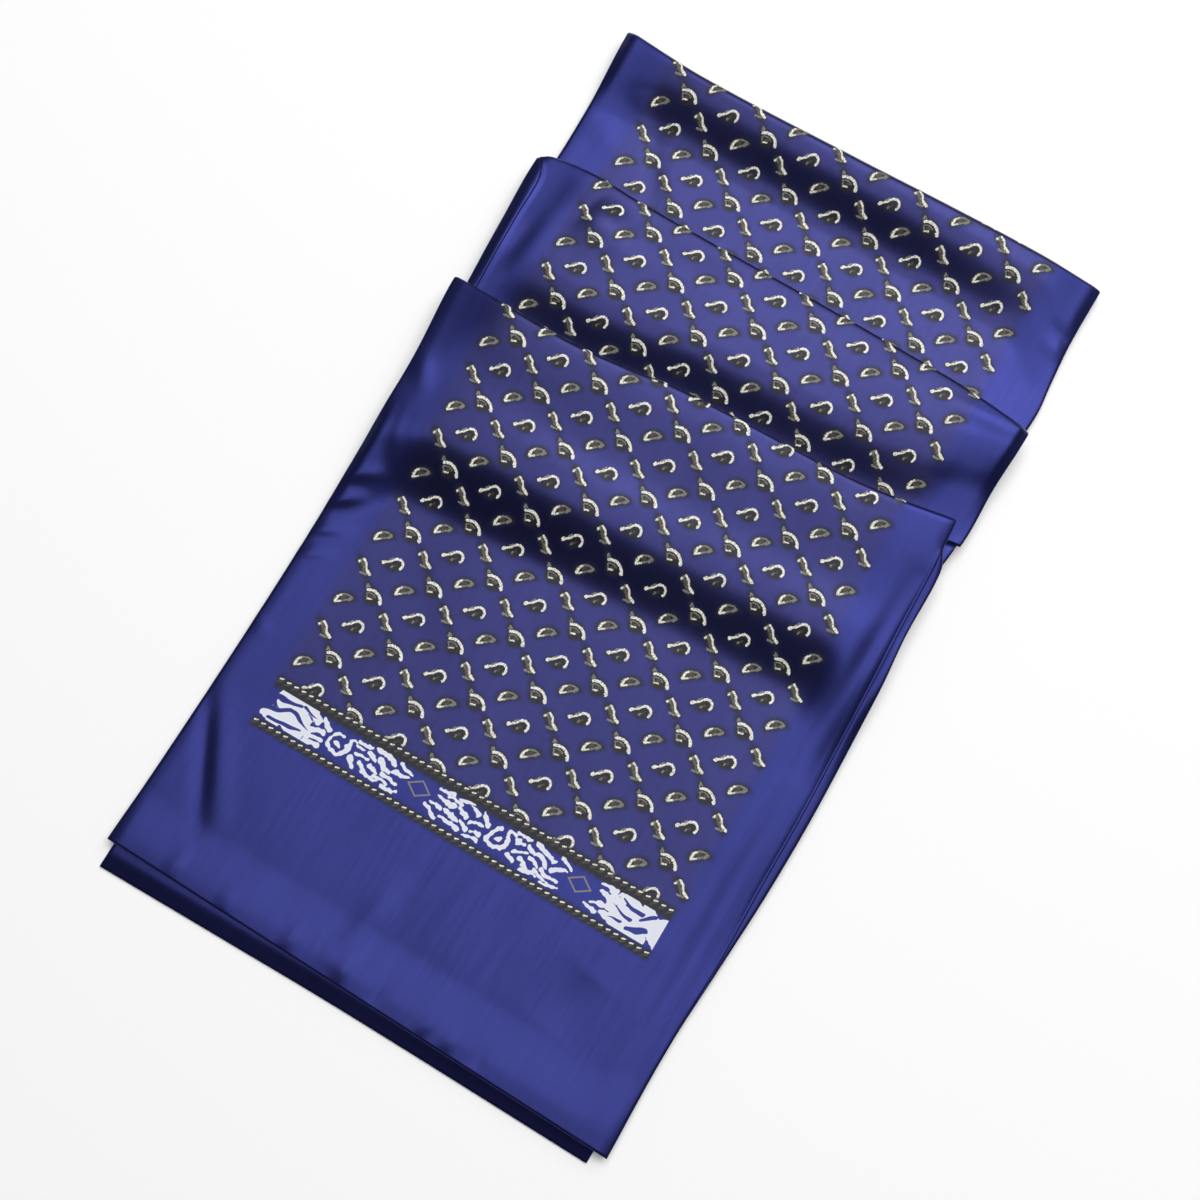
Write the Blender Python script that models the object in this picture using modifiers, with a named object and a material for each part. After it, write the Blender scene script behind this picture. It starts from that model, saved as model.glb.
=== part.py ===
# A silk scarf, folded to and fro and laid flat.
#
# Two long satin panels, a face and a backing, are sewn together round their edge and turned
# out. The double cloth is then folded so that three leaves show on top as steps, the front
# leaf over the middle leaf over the rear leaf, and a fourth leaf lies under them all. The
# pleats between them are hidden and share one solid.
#
# Frame: X across the scarf, Y along it from the two hems towards the rear fold, Z up.
# Tables give places from the middle of the front hem. Lengths are in metres.

import math
from collections import namedtuple

import bmesh
import bpy
from mathutils import Vector

# ---------------------------------------------------------------- driving dimensions

PLY = 0.0010                # wall of one ply of cloth
GAP = 0.0003                # space between pieces that touch
LEAF = 2 * PLY + GAP        # a face ply over a backing ply
PITCH = LEAF + GAP          # from one resting leaf to the next

TUCK = 0.0100               # how far a turned leaf runs back under its own fold
FADE = 0.045                # length over which a slanted hem or fold evens out
COLUMNS = 16                # grid cells across a leaf
TURN_STEPS = 6              # grid cells round a fold
UNDER_ROWS = 12             # grid points along the flat under leaf

RAMP_START = 0.240          # where the front leaf starts to climb onto the hidden pleats
RAMP_END = 0.286            # where it is level on top of them
RAMP_STEPS = 8              # grid cells along that climb

LIFTED_CORNER = (0.145, 0.368)   # the front fold's right corner stands up here
LIFT = 0.0045                    # how high
LIFT_REACH = 0.060               # how far along and across the lift is felt
SLOPE_STEP = 0.0005              # step used to measure a leaf's slope

SATIN_ROUGHNESS = 0.35
SATIN_BLUE = (0.050, 0.054, 0.270, 1.0)
SHADED_BLUE = (0.032, 0.030, 0.160, 1.0)

# Lines that run across the scarf: where they lie along it, at some places across.
LineRow = namedtuple("LineRow", "across along")

FRONT_HEM = [
    LineRow(-0.150, 0.0015),
    LineRow(0.000, 0.0000),
    LineRow(0.150, -0.0015),
]
UNDER_HEM = [
    LineRow(-0.150, -0.0128),
    LineRow(-0.075, -0.0110),
    LineRow(0.000, -0.0094),
    LineRow(0.150, -0.0090),
]
FRONT_FOLD = [
    LineRow(-0.150, 0.3485),
    LineRow(-0.085, 0.3472),
    LineRow(-0.045, 0.3508),
    LineRow(-0.020, 0.3546),
    LineRow(0.030, 0.3574),
    LineRow(0.080, 0.3590),
    LineRow(0.115, 0.3628),
    LineRow(0.145, 0.3682),
]
MIDDLE_FOLD = [
    LineRow(-0.154, 0.4328),
    LineRow(-0.146, 0.4378),
    LineRow(-0.120, 0.4400),
    LineRow(-0.092, 0.4387),
    LineRow(0.100, 0.4371),
    LineRow(0.154, 0.4290),
]
REAR_FOLD = [
    LineRow(-0.150, 0.5256),
    LineRow(-0.100, 0.5228),
    LineRow(0.000, 0.5245),
    LineRow(0.050, 0.5260),
    LineRow(0.150, 0.5253),
]

# Side edges of each leaf's two plies. The seam between them has rolled, so in places the
# backing shows beyond the face: on the front leaf's right and on the middle leaf's left.
EdgeRow = namedtuple("EdgeRow", "along face_left face_right backing_left backing_right")

FRONT_EDGES = [
    EdgeRow(0.000, -0.1486, 0.1507, -0.1480, 0.1502),
    EdgeRow(0.050, -0.1476, 0.1499, -0.1468, 0.1495),
    EdgeRow(0.110, -0.1471, 0.1512, -0.1462, 0.1526),
    EdgeRow(0.150, -0.1472, 0.1505, -0.1462, 0.1546),
    EdgeRow(0.200, -0.1478, 0.1502, -0.1468, 0.1551),
    EdgeRow(0.268, -0.1489, 0.1475, -0.1478, 0.1525),
    EdgeRow(0.300, -0.1498, 0.1460, -0.1487, 0.1499),
    EdgeRow(0.340, -0.1541, 0.1450, -0.1530, 0.1488),
    EdgeRow(0.354, -0.1545, 0.1438, -0.1538, 0.1433),
    EdgeRow(0.369, -0.1538, 0.1428, -0.1532, 0.1423),
]
MIDDLE_EDGES = [
    EdgeRow(0.345, -0.1424, 0.1500, -0.1480, 0.1494),
    EdgeRow(0.366, -0.1430, 0.1523, -0.1492, 0.1517),
    EdgeRow(0.395, -0.1444, 0.1518, -0.1511, 0.1512),
    EdgeRow(0.420, -0.1458, 0.1528, -0.1530, 0.1522),
    EdgeRow(0.434, -0.1530, 0.1532, -0.1535, 0.1526),
]
REAR_EDGES = [
    EdgeRow(0.427, -0.1460, 0.1515, -0.1454, 0.1510),
    EdgeRow(0.448, -0.1461, 0.1526, -0.1455, 0.1520),
    EdgeRow(0.465, -0.1466, 0.1510, -0.1460, 0.1505),
    EdgeRow(0.490, -0.1476, 0.1492, -0.1470, 0.1487),
    EdgeRow(0.526, -0.1498, 0.1493, -0.1492, 0.1488),
]
UNDER_EDGES = [
    EdgeRow(-0.013, -0.1454, 0.1434, -0.1448, 0.1429),
    EdgeRow(0.200, -0.1450, 0.1452, -0.1444, 0.1447),
    EdgeRow(0.450, -0.1452, 0.1478, -0.1446, 0.1473),
    EdgeRow(0.517, -0.1480, 0.1482, -0.1474, 0.1477),
]

# The hidden pleats' own edges, as uneven as folded cloth: the lower pleat lies between the
# middle and rear leaves, and the upper pleat between the front and middle leaves.
PleatEdge = namedtuple("PleatEdge", "left right")

LOWER_PLEAT_EDGES = [PleatEdge(-0.1452, 0.1468), PleatEdge(-0.1470, 0.1450)]
UPPER_PLEAT_EDGES = [PleatEdge(-0.1440, 0.1462), PleatEdge(-0.1462, 0.1420)]
EDGE_GROOVE = 0.0022        # depth of the groove between two layers
PLEAT_OVERLAP = 0.0001      # the two pleats run into each other by this much
PLEAT_SETBACK = 0.0040      # the pleats end this far short of a visible leaf's tucked end
UPPER_PLEAT_NOSE = 0.250    # where the upper pleat's own fold ends, under the ramp
LOWER_PLEAT_NOSE = 0.274    # where the lower pleat's own fold ends, inside the solid
UNDERSIDE_STEP = (0.278, 0.286)  # the upper pleat's underside steps onto the lower pleat here
LOWER_PLEAT_ROWS = (0.300, 0.330, 0.360, 0.390, 0.410, 0.4285)  # its grid rows past its nose

# ---------------------------------------------------------------- shape helpers


def smooth(value):
    """Ease from 0 to 1, level at both ends."""
    value = min(max(value, 0.0), 1.0)
    return value * value * (3 - 2 * value)


def mix(low, high, amount):
    return low + (high - low) * amount


def read(rows, key, column, place):
    """Read a table's column at a place on its key column, on a smooth curve through its rows."""
    places = [getattr(row, key) for row in rows]
    values = [getattr(row, column) for row in rows]
    last = len(rows) - 1

    def slope(index):
        before, after = max(index - 1, 0), min(index + 1, last)
        return (values[after] - values[before]) / (places[after] - places[before])

    if place <= places[0]:
        return values[0] + slope(0) * (place - places[0])
    if place >= places[last]:
        return values[last] + slope(last) * (place - places[last])
    index = max(number for number in range(last) if places[number] <= place)
    span = places[index + 1] - places[index]
    share = (place - places[index]) / span
    eased = smooth(share)
    bend = span * share * (1 - share)
    return (mix(values[index], values[index + 1], eased)
            + bend * ((1 - share) * slope(index) - share * slope(index + 1)))


def line_at(rows, across):
    return read(rows, "across", "along", across)


def level(number):
    """Height of the mid line of a leaf that rests on so many others."""
    return number * PITCH + LEAF / 2


def underside(number):
    return level(number) - LEAF / 2


def topside(number):
    return level(number) + LEAF / 2


def ramp(along):
    return smooth((along - RAMP_START) / (RAMP_END - RAMP_START))


def lift(across, along):
    """Height that the front fold's raised right corner adds."""
    beside = (across - LIFTED_CORNER[0]) / LIFT_REACH
    beyond = (along - LIFTED_CORNER[1]) / LIFT_REACH
    return LIFT * smooth(1 - math.hypot(beside, beyond))


# ---------------------------------------------------------------- leaves

# A leaf runs from its begin line to its fold line at its rest height. Close to the fold it
# swells by puff, turns over and runs back at the height of the leaf that it turns into.
# Stations are its grid rows: their places along a fold and hem that lay straight.
Leaf = namedtuple("Leaf", "name begin fold edges rest turned puff puff_length lifted stations")


def behind(rows, distance):
    """The same line, some way nearer the hems."""
    return [LineRow(row.across, row.along - distance) for row in rows]


BEFORE_RAMP = (0.000, 0.030, 0.080, 0.130, 0.180, 0.220)
RAMP_STATIONS = tuple(
    mix(RAMP_START, RAMP_END, step / RAMP_STEPS) for step in range(RAMP_STEPS + 1)
)
AFTER_RAMP = (0.305, 0.325, 0.340)

FRONT = Leaf(
    name="front_leaf", begin=FRONT_HEM, fold=FRONT_FOLD, edges=FRONT_EDGES,
    rest=lambda along: mix(level(1), level(5), ramp(along)), turned=level(4),
    puff=0.0010, puff_length=0.030, lifted=True,
    stations=BEFORE_RAMP + RAMP_STATIONS + AFTER_RAMP + (0.3525,),
)
MIDDLE = Leaf(
    name="middle_leaf", begin=behind(FRONT_FOLD, TUCK), fold=MIDDLE_FOLD, edges=MIDDLE_EDGES,
    rest=lambda along: level(3), turned=level(2),
    puff=0.0015, puff_length=0.040, lifted=False,
    stations=(0.345, 0.370, 0.395, 0.408, 0.420, 0.4345),
)
REAR = Leaf(
    name="rear_leaf", begin=behind(MIDDLE_FOLD, TUCK), fold=REAR_FOLD, edges=REAR_EDGES,
    rest=lambda along: level(1), turned=level(0),
    puff=0.0026, puff_length=0.032, lifted=False,
    stations=(0.428, 0.455, 0.480, 0.492, 0.500, 0.508, 0.516, 0.5215),
)


def turn_radius(leaf):
    """Radius of the mid line round a leaf's fold."""
    return (leaf.rest(leaf.stations[-1]) + leaf.puff - leaf.turned) / 2


def station_along(leaf, station, across):
    """A station's place, drawn towards the leaf's slanted ends where it is close to them."""
    first, last = leaf.stations[0], leaf.stations[-1]
    start_shift = line_at(leaf.begin, across) - first
    end_shift = line_at(leaf.fold, across) - turn_radius(leaf) - last
    near_start = 1 - smooth((station - first) / FADE)
    near_end = 1 - smooth((last - station) / FADE)
    return station + near_start * start_shift + near_end * end_shift


def resting_height(leaf, along, turn_start):
    swell = smooth(1 - (turn_start - along) / leaf.puff_length)
    return leaf.rest(along) + leaf.puff * swell


def mid_line(leaf, row, across):
    """Mid line of a leaf at one row and place: along, up, and the outward normal's two parts."""
    radius = turn_radius(leaf)
    turn_start = line_at(leaf.fold, across) - radius
    turns = row + 1 - len(leaf.stations)
    if turns > TURN_STEPS:
        return turn_start + radius - TUCK, leaf.turned, 0.0, -1.0
    if turns > 0:
        angle = math.pi * turns / TURN_STEPS
        out, over = math.sin(angle), math.cos(angle)
        return turn_start + radius * out, leaf.turned + radius * (1 + over), out, over
    along = station_along(leaf, leaf.stations[row], across)
    up = resting_height(leaf, along, turn_start)
    slope = (resting_height(leaf, along + SLOPE_STEP, turn_start) - up) / SLOPE_STEP
    length = math.hypot(slope, 1)
    return along, up, -slope / length, 1 / length


def place_across(edges, ply, share, along):
    """How far across a point lies. Both plies share the face's columns, except at their edges."""
    if share in (0.0, 1.0):
        return read(edges, "along", ply + ("_right" if share else "_left"), along)
    left = read(edges, "along", "face_left", along)
    right = read(edges, "along", "face_right", along)
    return mix(left, right, share)


def leaf_point(leaf, ply, share, row):
    """A point on a ply's own mid surface: share runs from 0 to 1 across, row along the leaf."""
    reach = leaf.stations[min(row, len(leaf.stations) - 1)]
    across = place_across(leaf.edges, ply, share, reach)
    along, up, normal_along, normal_up = mid_line(leaf, row, across)
    offset = (PLY + GAP) / 2 * (1 if ply == "face" else -1)
    raised = lift(across, max(along, reach)) if leaf.lifted else 0.0
    return Vector((across, along + normal_along * offset, up + normal_up * offset + raised))


def under_point(ply, share, progress):
    """A point on a ply of the under leaf, flat on the ground, from its hem to the rear fold."""
    end = REAR.stations[-1] - TUCK
    reach = mix(0.0, end, progress)
    across = place_across(UNDER_EDGES, ply, share, reach)
    along = mix(line_at(UNDER_HEM, across), line_at(REAR_FOLD, across) - TUCK - GAP, progress)
    up = PLY / 2 if ply == "face" else PLY / 2 + PLY + GAP
    return Vector((across, along, up))


# ---------------------------------------------------------------- Blender objects


def clear_scene():
    for old in list(bpy.data.objects):
        bpy.data.objects.remove(old, do_unlink=True)


def new_collection(name):
    collection = bpy.data.collections.new(name)
    bpy.context.scene.collection.children.link(collection)
    return collection


def satin(name, colour):
    material = bpy.data.materials.new(name)
    material.use_nodes = True
    shader = material.node_tree.nodes["Principled BSDF"]
    shader.inputs["Base Color"].default_value = colour
    shader.inputs["Roughness"].default_value = SATIN_ROUGHNESS
    shader.inputs["Metallic"].default_value = 0.0
    return material


def add_object(name, bm, colour, collection, parent):
    mesh = bpy.data.meshes.new(name)
    bm.to_mesh(mesh)
    bm.free()
    mesh.shade_smooth()
    mesh.set_sharp_from_angle(angle=math.radians(50))
    mesh.materials.append(satin(name, colour))
    piece = bpy.data.objects.new(name, mesh)
    collection.objects.link(piece)
    piece.parent = parent
    return piece


def thicken(piece):
    wall = piece.modifiers.new("cloth wall", "SOLIDIFY")
    wall.thickness = PLY
    wall.offset = 0.0
    wall.use_even_offset = True


def cloth_grid(rows, place):
    """A grid primitive whose corners are moved by place(share across, row)."""
    bm = bmesh.new()
    bmesh.ops.create_grid(bm, x_segments=COLUMNS, y_segments=rows - 1, size=1.0)
    for vertex in bm.verts:
        column = round((vertex.co.x + 1) / 2 * COLUMNS)
        row = round((vertex.co.y + 1) / 2 * (rows - 1))
        vertex.co = place(column / COLUMNS, row)
    return bm


def add_leaf(leaf, collection, parent):
    """The two plies of a leaf that shows, each a wall of its own."""
    rows = len(leaf.stations) + TURN_STEPS + 1
    for ply, colour in (("face", SATIN_BLUE), ("backing", SHADED_BLUE)):
        bm = cloth_grid(rows, lambda share, row: leaf_point(leaf, ply, share, row))
        thicken(add_object(f"{leaf.name}_{ply}", bm, colour, collection, parent))


def add_under_leaf(collection, parent):
    last = UNDER_ROWS - 1
    for ply, colour in (("face", SATIN_BLUE), ("backing", SHADED_BLUE)):
        bm = cloth_grid(UNDER_ROWS, lambda share, row: under_point(ply, share, row / last))
        thicken(add_object(f"under_leaf_{ply}", bm, colour, collection, parent))


def pleat_block(edges, stations, end_line, bottom, top):
    """Two layers of a pleat as a block: a cube cut into cells, its corners then moved.

    Each layer bulges at the sides, with a groove between it and the next.
    """
    levels = 2 * len(edges)
    cells = (COLUMNS, len(stations) - 1, levels)
    bm = bmesh.new()
    bmesh.ops.create_cube(bm, size=2.0)
    for axis, count in enumerate(cells):
        normal = Vector([1.0 if side == axis else 0.0 for side in range(3)])
        for cut in range(1, count):
            shape = bm.verts[:] + bm.edges[:] + bm.faces[:]
            bmesh.ops.bisect_plane(bm, geom=shape, plane_co=normal * (2 * cut / count - 1), plane_no=normal)
    for vertex in bm.verts:
        column = round((vertex.co.x + 1) / 2 * COLUMNS)
        row = round((vertex.co.y + 1) / 2 * cells[1])
        floor = round((vertex.co.z + 1) / 2 * levels)
        layer = edges[min(floor // 2, len(edges) - 1)]
        inset = EDGE_GROOVE / 2 if floor % 2 == 0 else 0.0
        across = mix(layer.left + inset, layer.right - inset, column / COLUMNS)
        near_end = 1 - smooth((stations[-1] - stations[row]) / FADE)
        end_shift = line_at(end_line, across) - TUCK - PLEAT_SETBACK - stations[-1]
        up = mix(bottom(stations[row]), top(stations[row]), floor / levels)
        vertex.co = Vector((across, stations[row] + near_end * end_shift, up))
    return bm


def upper_pleat_bottom(along):
    """On the under leaf at its nose, then on the lower pleat."""
    start, end = UNDERSIDE_STEP
    return mix(underside(1), topside(2) - PLEAT_OVERLAP, smooth((along - start) / (end - start)))


def upper_pleat_top(along):
    """Just under the front leaf."""
    return FRONT.rest(along) - LEAF / 2 - GAP


def add_hidden_layers(collection, guides, parent):
    """The pleats between the leaves, as one solid with layered edges."""
    climb = tuple(place for place in RAMP_STATIONS if place > UPPER_PLEAT_NOSE)
    upper_stations = (UPPER_PLEAT_NOSE,) + climb + AFTER_RAMP
    upper = pleat_block(UPPER_PLEAT_EDGES, upper_stations, FRONT_FOLD, upper_pleat_bottom, upper_pleat_top)
    lower_stations = (LOWER_PLEAT_NOSE,) + LOWER_PLEAT_ROWS
    lower = pleat_block(LOWER_PLEAT_EDGES, lower_stations, MIDDLE_FOLD,
                        lambda along: underside(1), lambda along: topside(2))
    block = add_object("hidden_layers", upper, SHADED_BLUE, collection, parent)
    lower_block = add_object("lower_pleat_guide", lower, SHADED_BLUE, guides, parent)
    lower_block.hide_render = True
    lower_block.display_type = "WIRE"
    join = block.modifiers.new("lower pleat", "BOOLEAN")
    join.operation = "UNION"
    join.solver = "EXACT"
    join.object = lower_block


def centre_on_ground(parent, collection):
    """Move the whole scarf so that the origin is the middle of its underside."""
    bpy.context.view_layer.update()
    graph = bpy.context.evaluated_depsgraph_get()
    corners = []
    for piece in collection.objects:
        shape = piece.evaluated_get(graph)
        corners += [shape.matrix_world @ vertex.co for vertex in shape.data.vertices]
    for axis in (0, 1):
        reach = [corner[axis] for corner in corners]
        parent.location[axis] = -(min(reach) + max(reach)) / 2
    bpy.context.view_layer.update()


def main():
    clear_scene()
    scarf = new_collection("silk_scarf")
    guides = new_collection("guides")
    placement = bpy.data.objects.new("placement", None)
    bpy.context.scene.collection.objects.link(placement)
    for leaf in (FRONT, MIDDLE, REAR):
        add_leaf(leaf, scarf, placement)
    add_under_leaf(scarf, placement)
    add_hidden_layers(scarf, guides, placement)
    centre_on_ground(placement, scarf)


main()
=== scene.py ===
# %% [markdown]
# # A folded silk scarf
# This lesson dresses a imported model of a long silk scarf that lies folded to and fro. The real
# one is two satin panels sewn together round their edge and turned out, so its cloth is double.
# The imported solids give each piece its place. The lesson makes thin cloth that lies on them,
# with the creases, the rolled seams and the printed pattern that the solids leave out.

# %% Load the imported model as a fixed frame
import math
from collections import namedtuple
from functools import reduce

import bpy
import numpy as np
from mathutils import Matrix, Vector


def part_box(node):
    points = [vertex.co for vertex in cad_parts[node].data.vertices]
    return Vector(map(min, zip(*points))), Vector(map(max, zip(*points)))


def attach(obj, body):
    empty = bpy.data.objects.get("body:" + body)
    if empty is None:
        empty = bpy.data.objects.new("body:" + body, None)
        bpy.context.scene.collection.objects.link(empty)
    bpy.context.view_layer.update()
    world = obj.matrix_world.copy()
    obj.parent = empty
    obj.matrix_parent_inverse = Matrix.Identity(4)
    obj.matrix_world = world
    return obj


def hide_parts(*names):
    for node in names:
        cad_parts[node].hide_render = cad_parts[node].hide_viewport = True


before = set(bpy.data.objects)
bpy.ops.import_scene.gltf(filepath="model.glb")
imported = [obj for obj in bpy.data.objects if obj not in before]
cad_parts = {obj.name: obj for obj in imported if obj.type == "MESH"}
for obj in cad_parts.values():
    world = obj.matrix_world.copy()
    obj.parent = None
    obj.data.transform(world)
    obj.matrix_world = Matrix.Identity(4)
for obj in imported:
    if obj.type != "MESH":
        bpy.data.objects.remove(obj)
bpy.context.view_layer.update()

# %% [markdown]
# ## Where the scarf lies
# The tables below give places from the middle of the front hem, unless they say otherwise,
# as a maker would measure the folded scarf. One offset takes them into the frame. It comes
# from the front leaf's own solid, whose box starts at the leaf's widest place on the left and
# at the right end of its hem.

# %% The middle of the front hem
LEFTMOST = -0.1545  # the front leaf's left edge at its widest, from the middle of the hem
HEM_SLANT = 0.0015  # the hem's right end lies this much nearer than its middle
front_low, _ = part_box("front_leaf_face")
HEM_MIDDLE = np.array((front_low.x - LEFTMOST, front_low.y + HEM_SLANT, 0.0))
print("the middle of the front hem is at", HEM_MIDDLE.round(4))

# %% [markdown]
# ## Camera, floor and light
# The scarf is seen from above, a little from its front and right, as it would be laid out on a
# table. Satin shows its folds by what it mirrors, so the light matters more than on a matt
# cloth. Two large soft lamps hang high up, one that reaches over the scarf and one beyond its
# far end. Flat cloth mirrors them, and near the front hem only their edge. Cloth that slopes to
# the hem mirrors the darker room in front, which makes the dark bands across the scarf.

# %% Camera
VIEW_AZIMUTH, VIEW_ELEVATION = math.radians(30.97), math.radians(78.80)
VIEW_DISTANCE = 0.8823
LOOK_AT = Vector(HEM_MIDDLE) + Vector((0.0028, 0.2387, 0.0))

towards_camera = Vector((
    math.sin(VIEW_AZIMUTH) * math.cos(VIEW_ELEVATION),
    -math.cos(VIEW_AZIMUTH) * math.cos(VIEW_ELEVATION),
    math.sin(VIEW_ELEVATION),
))
bpy.ops.object.select_all(action="DESELECT")
bpy.ops.object.camera_add(location=LOOK_AT + towards_camera * VIEW_DISTANCE)
camera = bpy.context.object
camera.name = "camera"
camera.rotation_euler = (-towards_camera).to_track_quat("-Z", "Y").to_euler()
camera.data.lens, camera.data.sensor_width = 50.0, 36.0
bpy.context.scene.camera = camera
bpy.context.scene.view_settings.view_transform = "Standard"
print("the camera stands at", [round(side, 3) for side in camera.location])

# %% Floor and light
FLOOR_SIZE, FLOOR_HEIGHT = 8.0, -0.0002  # just clear of the cloth
ROOM_LIGHT = 0.10
bpy.ops.object.select_all(action="DESELECT")
bpy.ops.mesh.primitive_plane_add(size=FLOOR_SIZE, location=(0.0, 0.0, FLOOR_HEIGHT))
floor = bpy.context.object
floor.name = "floor"
floor_finish = bpy.data.materials.new("pale floor")
floor_finish.use_nodes = True
floor_shader = floor_finish.node_tree.nodes["Principled BSDF"]
floor_shader.inputs["Base Color"].default_value = (0.97, 0.97, 0.97, 1.0)
floor_shader.inputs["Roughness"].default_value = 0.9
floor_shader.inputs["Specular IOR Level"].default_value = 0.0
floor.data.materials.append(floor_finish)


def soft_lamp(name, towards, distance, width, depth, radiance):
    """A rectangular lamp that faces the scarf, wide across it. Its power follows how bright
    it should look."""
    facing = Vector(towards).normalized()
    sideways = (Vector((1.0, 0.0, 0.0)) - facing * facing.x).normalized()
    turn = Matrix((sideways, facing.cross(sideways), facing)).transposed()
    bpy.ops.object.light_add(type="AREA", location=facing * distance, rotation=turn.to_euler())
    lamp = bpy.context.object
    lamp.name = name
    lamp.data.shape = "RECTANGLE"
    lamp.data.size, lamp.data.size_y = width, depth
    lamp.data.energy = radiance * math.pi * width * depth
    print(f"{name}: {lamp.data.energy:.0f} watts")


soft_lamp("high lamp", (0.03, 0.27, 1.0), distance=4.4, width=4.1, depth=4.3, radiance=2.85)
soft_lamp("far lamp", (0.10, 0.90, 1.0), distance=4.4, width=4.1, depth=3.8, radiance=2.0)

room = bpy.data.worlds.new("room")
room.use_nodes = True
room.node_tree.nodes["Background"].inputs["Color"].default_value = (1.0, 1.0, 1.0, 1.0)
room.node_tree.nodes["Background"].inputs["Strength"].default_value = ROOM_LIGHT
bpy.context.scene.world = room

# %% [markdown]
# ## Drawing with nodes
# The print has to follow the cloth through every fold, so it is drawn in the cloth's own
# measure: each sheet gets a UV map in metres, across and along the uncut scarf. A shape in the
# print is a distance, as a chain of maths nodes: below zero inside the shape and above zero
# outside. Two small classes write such chains as plain sums, where a minus sign adds a Subtract
# node, and node groups hold the shapes that are used many times.

# %% Plain sums that write chains of nodes
PRINT_MAP = "cloth"  # the UV map in metres
MM = 1000.0  # the print is drawn in millimetres
GREY = (0.5, 0.5, 0.5)  # the middle of a noise's three numbers
MIX_SOCKETS = {"VECTOR": (4, 5, 1), "RGBA": (6, 7, 2)}  # a Mix node's inputs and output, by kind


class Value:
    """A node's output to reckon with. The usual signs add maths nodes, on numbers or vectors."""

    def __init__(self, chain, socket):
        self.chain, self.socket = chain, socket

    def join(self, operation, *values):
        write = self.chain.sum if self.socket.type == "VALUE" else self.chain.vector
        return write(operation, *values)

    def __add__(self, other):
        return self.join("ADD", self, other)

    def __sub__(self, other):
        return self.join("SUBTRACT", self, other)

    def __rsub__(self, other):
        return self.join("SUBTRACT", other, self)

    def __mul__(self, other):
        return self.join("MULTIPLY", self, other)

    def __rmul__(self, other):
        return self.join("MULTIPLY", other, self)

    def __truediv__(self, other):
        return self.join("DIVIDE", self, other)

    def __abs__(self):
        return self.join("ABSOLUTE", self)

    def scaled(self, amount):
        return self.chain.vector("SCALE", self, amount)


def least(distances):
    return reduce(lambda one, two: one.join("MINIMUM", one, two), distances)


def most(*distances):
    return reduce(lambda one, two: one.join("MAXIMUM", one, two), distances)


class Chain:
    """Adds nodes to a tree. What is given to a node may be a number, a vector or a Value."""

    def __init__(self, tree):
        self.tree = tree

    def put(self, socket, value):
        if isinstance(value, Value):
            self.tree.links.new(value.socket, socket)
        else:
            socket.default_value = value

    def node(self, kind, *values, **settings):
        made = self.tree.nodes.new("ShaderNode" + kind)
        for setting, value in settings.items():
            setattr(made, setting, value)
        for socket, value in zip(made.inputs, values):
            self.put(socket, value)
        return made

    def fill(self, made, **values):
        """Give a node's named inputs their values, and return its outputs."""
        for name, value in values.items():
            self.put(made.inputs[name], value)
        return [Value(self, socket) for socket in made.outputs]

    def value(self, kind, *values, **settings):
        return self.fill(self.node(kind, *values, **settings))[0]

    def sum(self, operation, *values, clamp=False):
        return self.value("Math", *values, operation=operation, use_clamp=clamp)

    def vector(self, operation, *values):
        made = self.node("VectorMath", operation=operation)
        sockets = (made.inputs[0], made.inputs["Scale"]) if operation == "SCALE" else made.inputs
        for socket, value in zip(sockets, values):
            self.put(socket, value)
        one_number = operation in ("LENGTH", "DOT_PRODUCT", "DISTANCE")
        return Value(self, made.outputs["Value" if one_number else "Vector"])

    def place(self, across, along):
        return self.value("CombineXYZ", across, along)

    def parts(self, vector):
        """The first two numbers of a vector."""
        return self.fill(self.node("SeparateXYZ", vector))[:2]

    def eased(self, value, *limits):
        return self.value("MapRange", value, *limits, interpolation_type="SMOOTHSTEP")

    def noise(self, place, scale, detail=0.0):
        """Soft noise, as one number and as three."""
        made = self.node("TexNoise", noise_dimensions="2D")
        return self.fill(made, Vector=place, Scale=scale, Detail=detail)

    def turned(self, vector, angle):
        made = self.node("VectorRotate", rotation_type="Z_AXIS", invert=True)
        return self.fill(made, Vector=vector, Angle=angle)[0]

    def mixed(self, kind, share, first, second):
        made = self.node("Mix", share, data_type=kind)
        first_socket, second_socket, result = MIX_SOCKETS[kind]
        self.put(made.inputs[first_socket], first)
        self.put(made.inputs[second_socket], second)
        return Value(self, made.outputs[result])

    def group(self, tree, **values):
        made = self.tree.nodes.new("ShaderNodeGroup")
        made.node_tree = tree
        return self.fill(made, **values)


def new_group(name, vectors, numbers=(), gives=(("Distance", "Float"),)):
    """An empty node group with named sockets. Returns its chain, its inputs and its end."""
    tree = bpy.data.node_groups.new(name, "ShaderNodeTree")
    takes = [(label, "Vector") for label in vectors] + [(label, "Float") for label in numbers]
    for way, sockets in (("INPUT", takes), ("OUTPUT", gives)):
        for label, kind in sockets:
            tree.interface.new_socket(label, in_out=way, socket_type="NodeSocket" + kind)
    start, end = tree.nodes.new("NodeGroupInput"), tree.nodes.new("NodeGroupOutput")
    chain = Chain(tree)
    return chain, [Value(chain, socket) for socket, _ in zip(start.outputs, takes)], end.inputs


# %% Shapes as distances
def make_stroke():
    """A stroke with round ends, which may get thinner towards its far end."""
    chain, (place, near, far, radius, taper), end = new_group(
        "stroke", ("Place", "From", "To"), ("Radius", "Taper"))
    reach, line = place - near, far - near
    share = chain.sum("DIVIDE", chain.vector("DOT_PRODUCT", reach, line),
                      chain.vector("DOT_PRODUCT", line, line), clamp=True)
    away = chain.vector("LENGTH", reach - line.scaled(share))
    chain.put(end["Distance"], away - radius * (1.0 - taper * share))
    return chain.tree


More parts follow.
